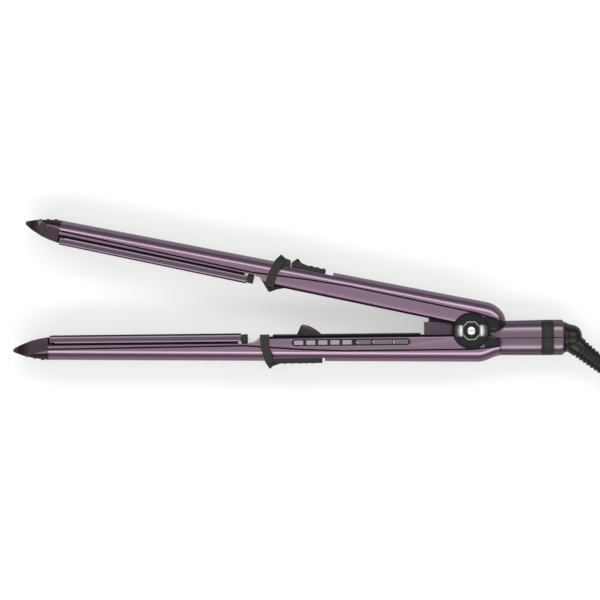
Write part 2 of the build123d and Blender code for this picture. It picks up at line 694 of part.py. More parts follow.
# ---------------------------------------------------------------- controls
def control_bezel():
    """Panel let into the side of the lower arm, with windows and room for the buttons."""
    with BuildPart() as bezel:
        with BuildSketch(Plane.XY.offset(MID_Z + ARM_HALF - PANEL_DEEP)):
            panel_outline()
            with Locations(window_places()):
                Rectangle(WINDOW_LONG, WINDOW_HIGH, mode=Mode.SUBTRACT)
            key_opening(0.6, Mode.SUBTRACT)
        extrude(amount=PANEL_DEEP + 0.05)
    bezel.part.label = "control_bezel"
    return bezel


def indicator_windows():
    with BuildPart() as windows:
        with BuildSketch(Plane.XY.offset(MID_Z + ARM_HALF - PANEL_DEEP)):
            with Locations(window_places()):
                Rectangle(WINDOW_LONG, WINDOW_HIGH)
        extrude(amount=PANEL_DEEP + 0.1)
    windows.part.label = "indicator_windows"
    return windows


def push_button(name, x):
    """Key whose front end is an arrow, or square on the power key."""
    low, high = -BUTTON_D[1], -BUTTON_D[0]
    arrow = KEY_ARROW if name != "button_power" else 0.0
    front = [(x[0] + arrow, low), (x[0], (low + high) / 2), (x[0] + arrow, high)]
    with BuildPart() as key:
        with BuildSketch(Plane.XY.offset(MID_Z + KEY_FLOOR)):
            with BuildLine():
                Polyline(*front, (x[1], high), (x[1], low), close=True)
            make_face()
        extrude(amount=KEY_HIGH)
    key.part.label = name
    return key


def circuit_board():
    """Control board behind the panel, with its switches and a processor."""
    with BuildPart() as board:
        layer((-121, -39), (-11.2, -4.6), (MID_Z + 11.2, MID_Z + 12.6))
        for x in BUTTONS.values():
            middle = (x[0] + x[1]) / 2
            layer((middle - 2, middle + 2), (-8.2, -5.2), (MID_Z + 12.6, MID_Z + 13.6))
        layer((-100, -92), (-10.4, -5.4), (MID_Z + 9.9, MID_Z + 11.2))
    board.part.label = "circuit_board"
    return board


# ---------------------------------------------------------------- fasteners
def shell_screws(side, name):
    with BuildPart() as screws:
        for x in SCREW_X:
            disc(outwards(side, x, screw_seat(side) + 0.05), (0, 0), SCREW_HEAD_R, SCREW_HEAD)
            disc(outwards(side, x, screw_seat(side) + SCREW_HEAD), (0, 0), SCREW_R, 8.0)
    screws.part.label = name
    return screws


# ---------------------------------------------------------------- cord
def sleeve_plane(s):
    """Plane across the sleeve at a distance s from the elbow's centre."""
    turn = radians(SLEEVE_TURN)
    way = (cos(turn), sin(turn), 0)
    return Plane(origin=(ELBOW_X + s * way[0], TAIL_Y + s * way[1], MID_Z), x_dir=(0, 0, 1), z_dir=way)


def swivel_elbow():
    """Rubber elbow on the swivel's neck, with the ribbed sleeve that the cord comes out of."""
    with BuildPart() as elbow:
        with BuildSketch(Plane.YZ.offset(TAIL_END + 0.3)):
            with Locations((TAIL_Y, MID_Z)):
                Circle(10.2)
        with BuildSketch(Plane.YZ.offset(ELBOW_X)):
            with Locations((TAIL_Y, MID_Z)):
                Circle(8.7)
        loft()
        with Locations((ELBOW_X, TAIL_Y, MID_Z)):
            Sphere(8.7)
        for s, radius in ((0.0, 8.6), (13.0, 6.0)):
            with BuildSketch(sleeve_plane(s)):
                Circle(radius)
        loft()
        disc(Plane.YZ.offset(TAIL_END + 0.3), (TAIL_Y, MID_Z), 20, -20, Mode.SUBTRACT)
        disc(sleeve_plane(10), (0, 0), SLEEVE_R, SLEEVE_LONG - 10)
        for k in range(11):
            groove = sleeve_plane(16 + k * RIB_PITCH)
            with BuildSketch(groove):
                Circle(SLEEVE_R + 1)
                Circle(SLEEVE_R - 0.9, mode=Mode.SUBTRACT)
            extrude(amount=1.2, mode=Mode.SUBTRACT)
        disc(Plane.YZ.offset(COLLAR_X - 4), (TAIL_Y, MID_Z), NECK_R, TAIL_END - COLLAR_X + 5)
    elbow.part.label = "swivel_elbow"
    return elbow


def swivel_retainer():
    with BuildPart() as ring:
        disc(Plane.YZ.offset(COLLAR_X - 3.5), (TAIL_Y, MID_Z), 8.7, 3.3)
        disc(Plane.YZ.offset(COLLAR_X - 5), (TAIL_Y, MID_Z), NECK_R, 8, Mode.SUBTRACT)
    ring.part.label = "swivel_retainer"
    return ring


def bend_radii(route):
    """Largest arc at each corner of a route that both of its runs have room for."""
    points = [Vector(*p) for p in route]
    radii = []
    for a, b, c in zip(points, points[1:], points[2:]):
        turn = radians((b - a).get_angle(c - b))
        radii.append(0.45 * min((b - a).length, (c - b).length) / tan(turn / 2))
    return radii


def cord_piece(name, route):
    """Round cord along straight runs joined by tangent arcs."""
    radii = bend_radii(route)
    start = Vector(*route[1]) - Vector(*route[0])
    with BuildPart() as cord:
        with BuildLine() as path:
            FilletPolyline(*route, radius=radii)
        with BuildSketch(Plane(origin=route[0], z_dir=start)):
            Circle(CORD_R)
        sweep(path=path.wires()[0])
    cord.part.label = name
    length = path.wires()[0].length
    exact = pi * CORD_R**2 * length
    print(name, "radii", [round(r, 1) for r in radii], "length", round(length, 1))
    print(name, "volume over section times length", round(cord.part.volume / exact, 4))
    return cord


def coil_plane(turn):
    """Upright plane through the coil's axis: local X outwards, local Y up."""
    way = (cos(radians(turn)), sin(radians(turn)), 0)
    return Plane(origin=(*COIL_C, 0), x_dir=way, z_dir=(way[1], -way[0], 0))


def coil_steps(out):
    """Top of the turns' section, from inside to outside, a little outside of it if out isn't 0."""
    return [
        (COIL_INNER - out, COIL_LOW + out), (COIL_STEP - out, COIL_LOW + out),
        (COIL_STEP - out, COIL_HIGH + out), (COIL_OUTER + out, COIL_HIGH + out),
    ]


def cord_coil():
    """Outer shape of the put-away turns: four side by side on the table, two of them a layer higher."""
    with BuildPart() as coil:
        with BuildSketch(coil_plane(0)):
            with BuildLine():
                Polyline((COIL_INNER, 0), *coil_steps(0), (COIL_OUTER, 0), close=True)
            make_face()
        revolve(axis=Axis((*COIL_C, 0), (0, 0, 1)))
    coil.part.label = "cord_coil"
    return coil


def cord_tie():
    """Strap over the turns, on the far side of the coil."""
    out = 1.2
    outer = [(COIL_INNER - out, 0), *coil_steps(out), (COIL_OUTER + out, 0)]
    inner = [(COIL_INNER, 0), *coil_steps(0), (COIL_OUTER, 0)]
    with BuildPart() as tie:
        with BuildSketch(coil_plane(-TIE_ARC / 2)):
            with BuildLine():
                Polyline(*outer, *reversed(inner), close=True)
            make_face()
        revolve(axis=Axis((*COIL_C, 0), (0, 0, 1)), revolution_arc=TIE_ARC)
    tie.part.label = "cord_tie"
    return tie


def plug_plane(s):
    """Plane across the plug at a distance s from the cord's end."""
    turn = radians(PLUG_TURN)
    way = Vector(cos(turn), sin(turn), 0)
    return Plane(origin=Vector(*PLUG_ROUTE[-1]) + way * s, x_dir=(-way.Y, way.X, 0), z_dir=way)


def plug_body():
    """Moulded two-blade plug with its own short strain relief."""
    with BuildPart() as plug:
        with BuildSketch(plug_plane(0)):
            Circle(4.5)
        with BuildSketch(plug_plane(14)):
            Circle(6.0)
        loft()
        with BuildSketch(plug_plane(14)):
            RectangleRounded(2 * PLUG_HALF[0] - 5, 2 * PLUG_HALF[1] - 2, 4.0)
        with BuildSketch(plug_plane(20)):
            RectangleRounded(2 * PLUG_HALF[0], 2 * PLUG_HALF[1], 4.0)
        loft()
        with BuildSketch(plug_plane(20)):
            RectangleRounded(2 * PLUG_HALF[0], 2 * PLUG_HALF[1], 4.0)
        extrude(amount=16)
    plug.part.label = "plug_body"
    return plug


def plug_blades():
    with BuildPart() as blades:
        with BuildSketch(plug_plane(36)):
            with Locations((-6.35, 0), (6.35, 0)):
                Rectangle(1.5, 6.3)
        extrude(amount=17)
    blades.part.label = "plug_blades"
    return blades


# ---------------------------------------------------------------- the whole tool
def build():
    pieces = []
    heater, clip = (-270, -162), (-272, -160)
    cradle = (PLATE_X[0] + 2.2, PLATE_X[1] - 2.2)
    for side, word in ((LOWER, "lower"), (UPPER, "upper")):
        pieces += [
            outer_shell(side, word + "_outer_shell"),
            inner_shell(side, word + "_inner_shell"),
            inlay(side, word + "_inlay"),
            tip(side, word + "_tip"),
            carrier(side, word + "_plate_carrier"),
            simple(side, word + "_plate_stop", (-152.3, -148.3), (0.9, BEZEL_D), 14.5),
            plate(side, word + "_plate"),
            simple(side, word + "_heater", heater, (2.8, 4.2), 8.5),
            simple(side, word + "_heater_clip", clip, (4.2, PLATE_BACK), 8.9),
            simple(side, word + "_plate_cradle", cradle, (PLATE_BACK, 8.0), 12.0),
            springs(side, word + "_plate_springs"),
            shell_screws(side, word + "_shell_screws"),
        ]
    pieces += [lower_guard(), upper_guard(), alignment_tooth(), latch_hook(), lock_slider(), lock_bolt()]
    pieces += [hinge_yoke(), hinge_skirt(), hinge_knuckle(), hinge_bushes(), pivot_pin(), opening_spring()]
    for up, word in ((True, "front"), (False, "rear")):
        pieces += [
            hinge_cap(up, word + "_hinge_cap"),
            cap_bezel(up, word + "_cap_bezel"),
            medallion(up, word + "_medallion"),
        ]
    pieces += [
        tail_top(),
        tail_bottom(),
        tail_ring("tail_band", (BAND_X, COLLAR_X), TAIL_BORE),
        tail_ring("tail_collar", (COLLAR_X, TAIL_END), NECK_R + RUNNING, 1.2),
        control_bezel(),
        indicator_windows(),
        circuit_board(),
    ]
    pieces += [push_button(name, x) for name, x in BUTTONS.items()]
    pieces += [swivel_elbow(), swivel_retainer()]
    pieces += [cord_piece("cord_tube", CORD_ROUTE), cord_coil(), cord_tie()]
    pieces += [cord_piece("cord_tail", PLUG_ROUTE), plug_body(), plug_blades()]
    return pieces


os.makedirs("parts", exist_ok=True)
for piece in build():
    export_step(piece.part, "parts/" + piece.part.label + ".step")
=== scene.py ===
"""Looks of a hair crimper that lies open on its side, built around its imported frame, in metres."""

import json
from math import copysign, cos, hypot, pi, radians, sin, sqrt

import bmesh
import bpy
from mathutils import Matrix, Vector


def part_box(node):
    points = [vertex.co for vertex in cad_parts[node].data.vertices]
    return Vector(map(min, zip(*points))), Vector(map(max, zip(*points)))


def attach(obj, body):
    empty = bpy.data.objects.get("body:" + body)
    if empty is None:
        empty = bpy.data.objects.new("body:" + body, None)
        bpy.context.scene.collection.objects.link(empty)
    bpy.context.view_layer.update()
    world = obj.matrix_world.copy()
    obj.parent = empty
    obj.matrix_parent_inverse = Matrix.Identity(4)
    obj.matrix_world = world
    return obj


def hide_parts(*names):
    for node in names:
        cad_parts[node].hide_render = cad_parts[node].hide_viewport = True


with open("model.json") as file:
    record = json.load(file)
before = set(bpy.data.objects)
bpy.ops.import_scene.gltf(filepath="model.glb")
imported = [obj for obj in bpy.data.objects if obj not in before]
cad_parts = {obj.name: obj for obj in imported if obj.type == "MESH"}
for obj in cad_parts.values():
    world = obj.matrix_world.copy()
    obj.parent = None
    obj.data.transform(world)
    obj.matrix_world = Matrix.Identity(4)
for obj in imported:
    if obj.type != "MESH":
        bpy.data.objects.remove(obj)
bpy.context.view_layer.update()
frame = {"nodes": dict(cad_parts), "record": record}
MM = 0.001


def middle(node):
    low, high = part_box(node)
    return (low + high) / 2


# ---------------------------------------------------------------- sizes, from the frame where it gives them
MID_Z = middle("pivot_pin").z  # height of the tool's middle plane
TAIL_Y = middle("tail_band").y  # height of the tail's axis in the picture
PICTURE_WIDTH = 0.4  # at the middle plane
PICTURE_CENTRE = (-0.1131, 0.0216)
CAMERA_ROLL = radians(-0.64)
LENS, SENSOR = 200.0, 36.0  # in mm

CORD_D = 7 * MM
CORD_EXIT = (0.1053, -0.03735, 0.018)
COIL_CENTRE = (0.1995, -0.0485)
COIL_START = radians(230)
COIL_POINTS = 20  # points of the spline for each turn
CORD_ROUTE = [
    CORD_EXIT,
    (0.1170, -0.0472, 0.0176),
    (0.1290, -0.0572, 0.0115),
    (0.1415, -0.0678, 0.0040),
    (0.1530, -0.0780, 0.0035),
]
PLUG_ROUTE = [
    (0.2110, 0.0055, 0.0174),
    (0.2020, 0.0108, 0.0152),
    (0.1915, 0.0168, 0.0098),
    (0.1810, 0.0228, 0.0080),
]
PLUG_HEADING = radians(150)
# how the turns lie: (turns made, radius of the turn, height of its middle), in diameters of the cord
COIL_LAY = [
    (0.0, 7.5, 0.5),
    (0.18, 7.5, 0.5),
    (3.18, 4.5, 0.5),
    (3.33, 4.5, 0.86),
    (3.53, 4.5, 1.26),
    (3.88, 4.5, 1.5),
    (4.33, 5.27, 1.5),
    (4.53, 5.5, 1.5),
    (6.53, 7.5, 1.5),
    (6.68, 7.5, 2.03),
    (6.88, 7.5, 2.26),
    (7.08, 7.5, 2.39),
    (7.38, 7.5, 2.49),
    (7.53, 7.5, 2.5),
]

# hinge caps and their bezels, from the hinge's axis
CAP_R = middle("front_hinge_cap").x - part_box("front_hinge_cap")[0].x
CAP_FACE = CAP_R - 1.3 * MM
OCTAGON = 6.2 * MM
CAP_LEVELS = (16.8 * MM, 17.5 * MM, 18.0 * MM)  # inner face, face and rim, from the middle plane
MEDALLION_R = 2.7 * MM

# the elbow's start, its corner and the sleeve's end
ELBOW_START, ELBOW_CORNER = 0.0626, 0.067
SLEEVE_TURN = radians(-40)
SLEEVE_LONG, SLEEVE_BOW = 0.05, 1.9 * MM
SLEEVE_SMOOTH = 9.5 * MM  # length before the first rib
# the sleeve's smooth end, as (distance along it, radius), in mm
SLEEVE_COLLAR = [(-3, 5.2), (0, 6.3), (2.85, 7.09), (5.7, 6.88), (8.55, 6.67), (9.5, 6.6)]
SLEEVE_R, SLEEVE_END_R = 6.5 * MM, 4.7 * MM  # at the first rib and at the cord
NECK_R = 7 * MM
RIB_PITCH, RIB_DEEP = 2.9 * MM, 0.75 * MM
# one rib and the slot after it: (part of the pitch, part of the slot's depth)
RIB_STEPS = [
    (0.04, 0.4), (0.09, 1.0), (0.36, 1.0),
    (0.42, 0.35), (0.5, 0.05), (0.7, 0.0),
    (0.9, 0.05), (0.99, 0.3),
]

# the tail: radius of its front and rear end, its black lines of painted shade along the joints, power of its
# round square section
TAIL_R, TAIL_R_REAR = 11.4 * MM, 11.8 * MM
TAIL_SEAM, TAIL_SEAM_PROUD, TAIL_SEAM_DEEP = 0.55 * MM, 0.03 * MM, 0.4 * MM
TAIL_SEAM_END = 1.4 * MM  # from the collar's rear edge
TAIL_POWER = 3.0

KEY_ARROW = 1.6 * MM  # length of the arrow head at the front of a key
# painted highlights along the keys' front edges
HIGHLIGHT_LONG, HIGHLIGHT_PROUD, HIGHLIGHT_INSET = 0.42 * MM, 0.06 * MM, 0.25 * MM
TIE_WIDE = 9 * MM
# the tie's section: (distance in from its edge, thickness), in mm
TIE_STEPS = [(0, 0.1), (0, 0.7), (0.3, 1.0)]

# the plug, in mm: length of its relief and radii of its ends, one rib of it as (part of the pitch, depth)
PLUG_RELIEF, PLUG_RELIEF_R = 12.5, (4.5, 6.0)
PLUG_RIBS = 4
PLUG_RIB_STEPS = [(0.1, 0.0), (0.5, 0.0), (0.58, 0.8), (0.88, 0.8), (0.96, 0.0)]
# both ends of its grip: (distance from the cord's end, half width, half height, power of the section)
PLUG_SHOULDER = [
    (13.5, 6.2, 6.2, 2.0),
    (15.0, 8.2, 7.0, 2.4),
    (17.5, 10.8, 7.7, 3.0),
    (20.0, 12.2, 7.95, 3.8),
]
PLUG_FACE = [(34.5, 12.5, 8.0, 4.5), (35.5, 12.4, 7.9, 4.5), (36.0, 11.9, 7.4, 4.5)]
# the ridged grip between them: half width, half height and power, start, length and number of steps
GRIP_WIDE, GRIP_HIGH, GRIP_POWER = 12.4, 7.95, 4.2
GRIP_START, GRIP_LONG, GRIP_STEPS = 21.0, 12.0, 12
GRIP_WAIST, GRIP_RIDGE = 0.9, 0.25  # the waist takes 0.3 as much off the height

# the arms
OPEN_ANGLE = radians(12.4)  # between the arms at rest
BACKWARDS = {"lower": (0, -1), "upper": (sin(OPEN_ANGLE), cos(OPEN_ANGLE))}  # from the closing plane
SIDE_Z = 16.5 * MM  # flat sides, from the middle plane
GROOVE_DEEP = 0.5 * MM  # the groove between an arm's shells
BLACK_ENDED = ("lower_inner_shell", "upper_inner_shell")  # black behind the hinge
BLACK_END_X = 8.6 * MM
EDGE_D = 4.3 * MM  # painted shade: the inner edges are painted darker up to here from the closing plane
# black lips beside the plate, dark where the slots show only shade
LIP_ALONG = (276.9 * MM, 280.2 * MM)  # lips beside the plate, from the hinge's axis
LIP_BACK = (5.55 * MM, 6.95 * MM)  # from the closing plane
LIP_ACROSS = (15.2 * MM, 16.3 * MM)  # from the middle plane

# finishes that differ from the one of the piece's slot
FINISHES = {
    "latch_hook": "plum_gloss",
    "lower_tip": "purple_tip",
    "upper_tip": "purple_tip",
    "tail_top": "purple_satin",
    "tail_bottom": "purple_satin",
}
# width in mm of the rounding on the edges of each piece that is shown as the CAD made it
ROUNDED = {
    "lower_outer_shell": 0.12,
    "upper_outer_shell": 0.12,
    "lower_inner_shell": 0.12,
    "upper_inner_shell": 0.12,
    "lower_tip": 0.25,
    "upper_tip": 0.25,
    "lower_finger_guard": 0.45,
    "upper_finger_guard": 0.45,
    "lock_slider": 0.4,
    "alignment_tooth": 0.5,
    "latch_hook": 0.35,
    "lower_inlay": 0.2,
    "upper_inlay": 0.1,
    "lower_plate": 0.12,
    "upper_plate": 0.12,
    "lower_plate_stop": 0.6,
    "upper_plate_stop": 0.6,
    "hinge_yoke": 0.6,
    "hinge_skirt": 0.2,
    "tail_top": 0.45,
    "tail_bottom": 0.45,
    "control_bezel": 0.06,
    "indicator_windows": 0.06,
    "button_less": 0.15,
    "button_more": 0.15,
    "button_power": 0.15,
    "lock_bolt": 0.2,
    "hinge_knuckle": 0.3,
    "plug_blades": 0.25,
}
WELD, FLAT = 2e-6, radians(0.6)  # points closer than this are joined, faces flatter than this made whole
ROUND_SEGMENTS = 2
SHARPEST = radians(28)  # edges that turn less than this aren't rounded

# the studio: panels overhead, as (tilt from, tilt to, softness, level), tilted about the tool's length
STUDIO_BANDS = [(-20, 20, 8, 1.35), (-46, -27, 7, 8.6), (25, 42, 7, 8.6)]
STUDIO_REACH, STUDIO_SOFT = 0.75, 0.12  # where the panels end along the tool, and how softly
ROOM_LEVEL = 0.4
FLOOR_COLOUR = (0.28, 0.28, 0.28, 1)
FLOOR_GLOW = 0.5  # the floor is a light table
FLOOR_HALF = 6.0


# ---------------------------------------------------------------- camera, light and floor
def make_camera():
    """Straight above the tool, far enough away for the picture's width to fit its narrow angle."""
    data = bpy.data.cameras.new("camera")
    data.lens = LENS
    data.sensor_width = SENSOR
    data.clip_end = 20
    camera = bpy.data.objects.new("camera", data)
    height = MID_Z + PICTURE_WIDTH * LENS / SENSOR
    camera.location = (*PICTURE_CENTRE, height)
    camera.rotation_euler = (0, 0, CAMERA_ROLL)
    bpy.context.scene.collection.objects.link(camera)
    bpy.context.scene.camera = camera


def add_node(tree, kind, inputs=(), **values):
    """A shader node, with its own settings and the values or links of its inputs."""
    made = tree.nodes.new(kind)
    for key, value in values.items():
        setattr(made, key, value)
    for key, value in dict(inputs).items():
        if isinstance(value, bpy.types.NodeSocket):
            tree.links.new(value, made.inputs[key])
        else:
            made.inputs[key].default_value = value
    return made


def smooth_step(tree, value, start, end):
    ramp = add_node(
        tree,
        "ShaderNodeMapRange",
        {"Value": value, "From Min": start, "From Max": end},
        interpolation_type="SMOOTHSTEP",
    )
    return ramp.outputs["Result"]


def maths(tree, operation, first, second):
    return add_node(tree, "ShaderNodeMath", {0: first, 1: second}, operation=operation).outputs[0]


def make_studio():
    """A dim room with a pale panel overhead and a long bright strip on each side of it."""
    world = bpy.data.worlds.new("studio")
    bpy.context.scene.world = world
    world.use_nodes = True
    tree = world.node_tree
    tree.nodes.clear()
    place = add_node(tree, "ShaderNodeTexCoord")
    split = add_node(tree, "ShaderNodeSeparateXYZ", {0: place.outputs["Generated"]})
    tilt = maths(tree, "ARCTAN2", split.outputs["Y"], split.outputs["Z"])
    light = 0.0
    for low, high, soft, level in STUDIO_BANDS:
        rise = smooth_step(tree, tilt, radians(low - soft), radians(low + soft))
        fall = smooth_step(tree, tilt, radians(high + soft), radians(high - soft))
        panel = maths(tree, "MULTIPLY", maths(tree, "MULTIPLY", rise, fall), level)
        light = maths(tree, "ADD", panel, light)
    along = add_node(tree, "ShaderNodeMath", {0: split.outputs["X"]}, operation="ABSOLUTE").outputs[0]
    ends = smooth_step(tree, along, STUDIO_REACH + STUDIO_SOFT, STUDIO_REACH - STUDIO_SOFT)
    strength = maths(tree, "ADD", maths(tree, "MULTIPLY", light, ends), ROOM_LEVEL)
    background = add_node(tree, "ShaderNodeBackground", {"Strength": strength})
    output = add_node(tree, "ShaderNodeOutputWorld")
    tree.links.new(background.outputs[0], output.inputs[0])


def make_floor():
    mesh = bpy.data.meshes.new("floor")
    corners = [(x * FLOOR_HALF, y * FLOOR_HALF, 0) for x, y in ((-1, -1), (1, -1), (1, 1), (-1, 1))]
    mesh.from_pydata(corners, [], [(0, 1, 2, 3)])
    floor = bpy.data.objects.new("floor", mesh)
    bpy.context.scene.collection.objects.link(floor)
    material = bpy.data.materials.new("floor")
    material.use_nodes = True
    shader = material.node_tree.nodes["Principled BSDF"]
    shader.inputs["Base Color"].default_value = FLOOR_COLOUR
    shader.inputs["Roughness"].default_value = 0.9
    shader.inputs["Specular IOR Level"].default_value = 0.1
    shader.inputs["Emission Color"].default_value = (1, 1, 1, 1)
    shader.inputs["Emission Strength"].default_value = FLOOR_GLOW
    mesh.materials.append(material)


# ---------------------------------------------------------------- materials
def new_material(name):
    material = bpy.data.materials.new(name)
    material.use_nodes = True
    tree = material.node_tree
    return material, tree, tree.nodes["Principled BSDF"]


def noise(tree, scale, detail, stretch=(1, 1, 1)):
    """Noise in the object's own space, drawn out along one direction if stretch says so."""
    place = add_node(tree, "ShaderNodeTexCoord")
    mapped = add_node(tree, "ShaderNodeMapping", {"Vector": place.outputs["Object"], "Scale": stretch})
    inputs = {"Vector": mapped.outputs[0], "Scale": scale, "Detail": detail}
    return add_node(tree, "ShaderNodeTexNoise", inputs).outputs["Fac"]


def cells(tree, scale):
    """Distance from the middles of small cells in the object's own space."""
    place = add_node(tree, "ShaderNodeTexCoord")
    inputs = {"Vector": place.outputs["Object"], "Scale": scale}
    return add_node(tree, "ShaderNodeTexVoronoi", inputs).outputs["Distance"]


def between(tree, value, low, high):
    """The value, from 0 to 1, turned into one between low and high."""
    inputs = {"Value": value, "To Min": low, "To Max": high}
    return add_node(tree, "ShaderNodeMapRange", inputs).outputs["Result"]


def paint_mix(tree, shader, value, first, second):
    """Colour the shader from the first colour to the second, as the value goes from 0 to 1."""
    inputs = {0: value, 6: (*first, 1), 7: (*second, 1)}
    mix = add_node(tree, "ShaderNodeMix", inputs, data_type="RGBA")
    tree.links.new(mix.outputs[2], shader.inputs["Base Color"])


def bump(tree, shader, heights):
    """Small relief from several heights: (value, depth in metres)."""
    normal = None
    for value, depth in heights:
        made = add_node(tree, "ShaderNodeBump", {"Height": value, "Strength": 1.0, "Distance": depth})
        if normal is not None:
            tree.links.new(normal, made.inputs["Normal"])
        normal = made.outputs["Normal"]
    tree.links.new(normal, shader.inputs["Normal"])


def metallic_paint(name, light, dark, roughness, coat):
    """Fine metal flakes in a coloured base under a clear lacquer."""
    material, tree, shader = new_material(name)
    flakes = cells(tree, 5200)
    cloud = noise(tree, 60, 3)
    paint_mix(tree, shader, cloud, dark, light)
    tree.links.new(between(tree, flakes, *roughness), shader.inputs["Roughness"])
    shader.inputs["Metallic"].default_value = 0.9
    shader.inputs["Specular Tint"].default_value = (0.12, 0.12, 0.13, 1)
    shader.inputs["Coat Weight"].default_value = coat
    shader.inputs["Coat Roughness"].default_value = 0.06
    shader.inputs["Coat IOR"].default_value = 1.45
    bump(tree, shader, [(flakes, 4e-6), (noise(tree, 900, 1), 3e-6)])
    return material


def moulded(name, light, dark, roughness, grain, depth, specular):
    """Moulded plastic or rubber with a fine grain, a little uneven in shade and gloss."""
    material, tree, shader = new_material(name)
    pores = cells(tree, grain)
    cloud = noise(tree, 45, 4)
    paint_mix(tree, shader, cloud, dark, light)
    tree.links.new(between(tree, noise(tree, 300, 3), *roughness), shader.inputs["Roughness"])
    shader.inputs["Specular IOR Level"].default_value = specular
    bump(tree, shader, [(pores, depth), (noise(tree, grain * 0.4, 2), depth)])
    return material


def metal(name, light, dark, roughness, lines, scale, depth):
    """Bare metal with fine marks, drawn out along one direction if lines says so."""
    material, tree, shader = new_material(name)
    marks = noise(tree, scale, 3, lines)
    paint_mix(tree, shader, noise(tree, 80, 2), dark, light)
    tree.links.new(between(tree, marks, *roughness), shader.inputs["Roughness"])
    shader.inputs["Metallic"].default_value = 1.0
    bump(tree, shader, [(marks, depth)])
    return material


def window_lens(name):
    """Grey lens with a faint lengthwise grain behind a glossy face."""
    material, tree, shader = new_material(name)
    grain = noise(tree, 700, 2, (1, 0.2, 1))
    paint_mix(tree, shader, grain, (0.12, 0.105, 0.118), (0.18, 0.16, 0.176))
    tree.links.new(between(tree, grain, 0.25, 0.4), shader.inputs["Roughness"])
    shader.inputs["Coat Weight"].default_value = 0.5
    shader.inputs["Coat Roughness"].default_value = 0.1
    bump(tree, shader, [(grain, 1e-5)])
    return material


def cap_steel_painted_reflection(name):
    """Brushed steel of the hinge's bezel, with a painted reflection: bright at the octagon, painted darker
    out to the rim.
    """
    material, tree, shader = new_material(name)
    place = add_node(tree, "ShaderNodeTexCoord")
    split = add_node(tree, "ShaderNodeSeparateXYZ", {0: place.outputs["Object"]})
    flat = add_node(tree, "ShaderNodeCombineXYZ", {0: split.outputs["X"], 1: split.outputs["Y"]})
    out = add_node(tree, "ShaderNodeVectorMath", {0: flat.outputs[0]}, operation="LENGTH").outputs["Value"]
    # painted reflection: bright steel at the octagon fading to dark at the rim
    reflection_fade = smooth_step(tree, out, OCTAGON, OCTAGON + 0.75 * (CAP_FACE - OCTAGON))
    paint_mix(tree, shader, reflection_fade, (0.60, 0.62, 0.61), (0.045, 0.052, 0.052))
    marks = noise(tree, 1500, 3, (0.08, 1, 1))
    tree.links.new(between(tree, marks, 0.22, 0.36), shader.inputs["Roughness"])
    shader.inputs["Metallic"].default_value = 1.0
    bump(tree, shader, [(marks, 3e-6)])
    return material


# (lighter shade, darker shade, roughness from and to, weight of the lacquer)
PAINTS = {
    "purple_shell": ((0.134, 0.080, 0.122), (0.113, 0.067, 0.102), (0.24, 0.32), 0.95),
    "purple_satin": ((0.108, 0.078, 0.101), (0.090, 0.064, 0.084), (0.27, 0.35), 0.35),
    "purple_casting": ((0.045, 0.030, 0.042), (0.033, 0.022, 0.031), (0.3, 0.42), 0.2),
    "purple_plate": ((0.078, 0.054, 0.074), (0.064, 0.044, 0.060), (0.16, 0.24), 0.3),
    "purple_tip": ((0.036, 0.022, 0.032), (0.028, 0.017, 0.025), (0.22, 0.3), 0.35),
    # painted shade for the arms' inner edges
    "purple_edge": ((0.030, 0.019, 0.026), (0.024, 0.015, 0.020), (0.3, 0.4), 0.0),
    "plum_gloss": ((0.026, 0.016, 0.021), (0.018, 0.011, 0.015), (0.2, 0.3), 0.35),
}
# (lighter shade, darker shade, roughness from and to, scale of the grain, its depth, strength of the gloss)
MOULDINGS = {
    # painted shade: black for the arms' grooves, the tail's joints and the lips beside the plates
    "seam_black": ((0.004, 0.003, 0.004), (0.002, 0.002, 0.002), (0.6, 0.8), 900, 1e-5, 0.1),
    "black_rubber": ((0.0095, 0.0100, 0.0092), (0.0055, 0.0060, 0.0054), (0.5, 0.68), 1300, 4e-5, 0.2),
    "black_gloss": ((0.0045, 0.0040, 0.0045), (0.0025, 0.0020, 0.0025), (0.16, 0.26), 2200, 3e-6, 0.2),
    "black_plastic": ((0.0060, 0.0055, 0.0060), (0.0035, 0.0030, 0.0035), (0.3, 0.45), 1900, 1e-5, 0.2),
    "elbow_black": ((0.0026, 0.0027, 0.0024), (0.0014, 0.0015, 0.0013), (0.28, 0.42), 1100, 2e-5, 0.22),
    "heat_plastic": ((0.008, 0.008, 0.008), (0.005, 0.005, 0.005), (0.5, 0.7), 1500, 2e-5, 0.2),
    "cord_black": ((0.010, 0.010, 0.010), (0.006, 0.006, 0.006), (0.38, 0.52), 900, 6e-6, 0.3),
    "key_grey": ((0.075, 0.068, 0.072), (0.055, 0.05, 0.053), (0.35, 0.5), 1700, 1e-5, 0.3),
    # painted highlight on the keys' front edges
    "key_mark": ((0.36, 0.33, 0.34), (0.30, 0.27, 0.28), (0.4, 0.5), 1700, 5e-6, 0.5),
    "ceramic": ((0.80, 0.78, 0.73), (0.70, 0.68, 0.63), (0.4, 0.6), 1200, 1e-5, 0.5),
    "board_green": ((0.004, 0.02, 0.010), (0.002, 0.012, 0.006), (0.25, 0.4), 800, 1e-5, 0.5),
}
# (lighter shade, darker shade, roughness from and to, stretch of the marks, their scale and depth)
METALS = {
    "cap_frame": ((0.30, 0.32, 0.31), (0.24, 0.26, 0.25), (0.2, 0.3), (1, 1, 1), 700, 2e-6),
    "chrome": ((0.50, 0.50, 0.51), (0.42, 0.42, 0.43), (0.10, 0.18), (1, 1, 1), 400, 1e-6),
    "steel": ((0.58, 0.58, 0.59), (0.48, 0.48, 0.49), (0.25, 0.4), (1, 1, 0.1), 900, 4e-6),
    "brass": ((0.78, 0.60, 0.32), (0.66, 0.49, 0.25), (0.18, 0.32), (0.15, 1, 1), 900, 4e-6),
    "aluminium": ((0.68, 0.68, 0.70), (0.56, 0.56, 0.58), (0.35, 0.5), (1, 1, 1), 500, 1e-5),
}


